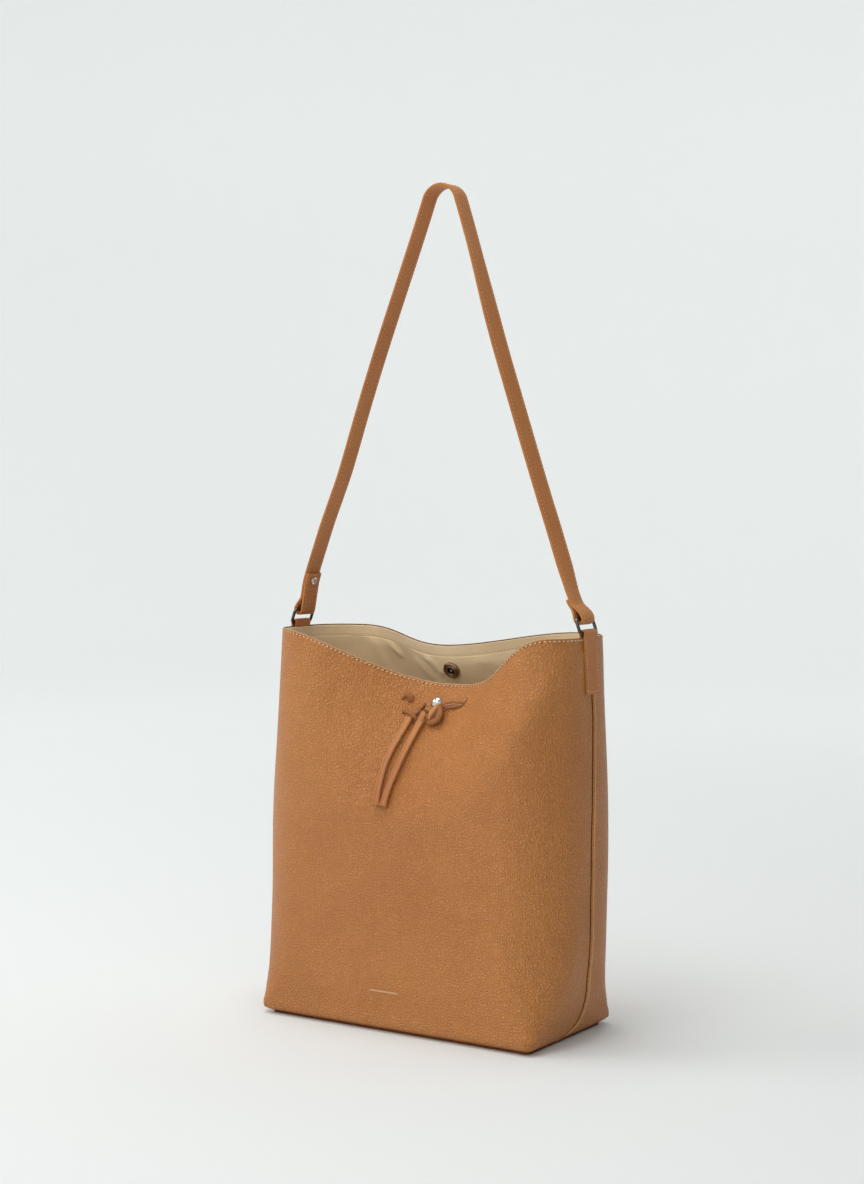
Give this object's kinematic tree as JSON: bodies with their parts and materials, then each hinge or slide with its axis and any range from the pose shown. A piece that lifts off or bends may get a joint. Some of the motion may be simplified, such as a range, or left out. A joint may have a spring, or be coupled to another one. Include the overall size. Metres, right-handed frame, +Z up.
{
  "type": "bucket bag",
  "caption": "Soft pebbled-leather bucket bag with a pinched open mouth, magnetic snap, tied lace and a shoulder strap on wire rings.",
  "frame": {"origin": "on the ground, below the middle of the bag", "axes": "+Z up along the bag's height, -Y out of the front with the lace, +X to the right seen from the front"},
  "size_m": [0.316, 0.1444, 0.73],
  "materials": {
    "body_leather": "soft pebbled grain, satin",
    "strap_leather": "fine pebbled grain, satin",
    "lace_leather": "smooth, satin",
    "lining": "soft brushed cotton twill, matt",
    "facing": "soft brushed cotton twill, matt",
    "board": "stiff pressed board, matt",
    "rings": "dark polished nickel",
    "snap_metal": "dark gunmetal",
    "magnet": "ferrite, matt",
    "nickel": "polished nickel"
  },
  "bodies": {
    "bag": {"front_panel": "body_leather", "rear_panel": "body_leather", "base_panel": "body_leather", "base_board": "board", "base_lining": "lining", "front_lining": "lining", "rear_lining": "lining", "front_facing": "facing", "rear_facing": "facing", "front_rim_stay": "board", "rear_rim_stay": "board", "left_tab": "strap_leather", "right_tab": "strap_leather", "snap_socket": "snap_metal", "snap_magnet": "magnet", "snap_plug": "snap_metal", "snap_socket_washer": "nickel", "snap_plug_washer": "nickel", "front_rivet": "nickel", "lace_knot": "lace_leather", "lace_right_loop": "lace_leather", "lace_left_strand": "lace_leather", "lace_end_loop": "lace_leather"},
    "ring_left": {"ring_left": "rings"},
    "ring_right": {"ring_right": "rings"},
    "strap_ends": {"strap_end_left": "strap_leather", "strap_end_right": "strap_leather", "strap_screw_post": "nickel", "strap_screw_cap": "nickel", "strap_flex_left": "strap_leather", "strap_flex_right": "strap_leather"},
    "strap_arch": {"strap_outer_ply": "strap_leather", "strap_inner_ply": "strap_leather"},
    "lace_tail_left": {"lace_tail_left": "lace_leather"},
    "lace_tail_right": {"lace_tail_right": "lace_leather"}
  },
  "joints": [
    {"name": "ring_left_swing", "type": "hinge", "parent": "bag", "child": "ring_left", "pos_m": [-0.15035, 0.006, 0.3449], "axis": [0, 1, 0], "range_deg": [-15, 15]},
    {"name": "ring_right_swing", "type": "hinge", "parent": "bag", "child": "ring_right", "pos_m": [0.15035, 0.006, 0.3449], "axis": [0, 1, 0], "range_deg": [-15, 15]},
    {"name": "strap_level", "type": "hinge", "parent": "ring_left", "child": "strap_ends", "pos_m": [-0.14607, 0.006, 0.35665], "axis": [0, 1, 0], "range_deg": [-16, 16]},
    {"name": "strap_fold", "type": "hinge", "parent": "strap_ends", "child": "strap_arch", "pos_m": [0, 0.006, 0.4023], "axis": [1, 0, 0], "range_deg": [-120, 120], "deforming": ["strap_flex_left", "strap_flex_right"]},
    {"name": "lace_tail_left_lift", "type": "hinge", "parent": "bag", "child": "lace_tail_left", "pos_m": [-0.0095, -0.0255, 0.267], "axis": [-1, 0, 0], "range_deg": [0, 75]},
    {"name": "lace_tail_right_lift", "type": "hinge", "parent": "bag", "child": "lace_tail_right", "pos_m": [0.0025, -0.0235, 0.267], "axis": [-1, 0, 0], "range_deg": [0, 75]}
  ],
  "couplings": [
    {"joint": "ring_right_swing", "follows": "ring_left_swing", "ratio": 1},
    {"joint": "strap_level", "follows": "ring_left_swing", "ratio": -1.033}
  ]
}
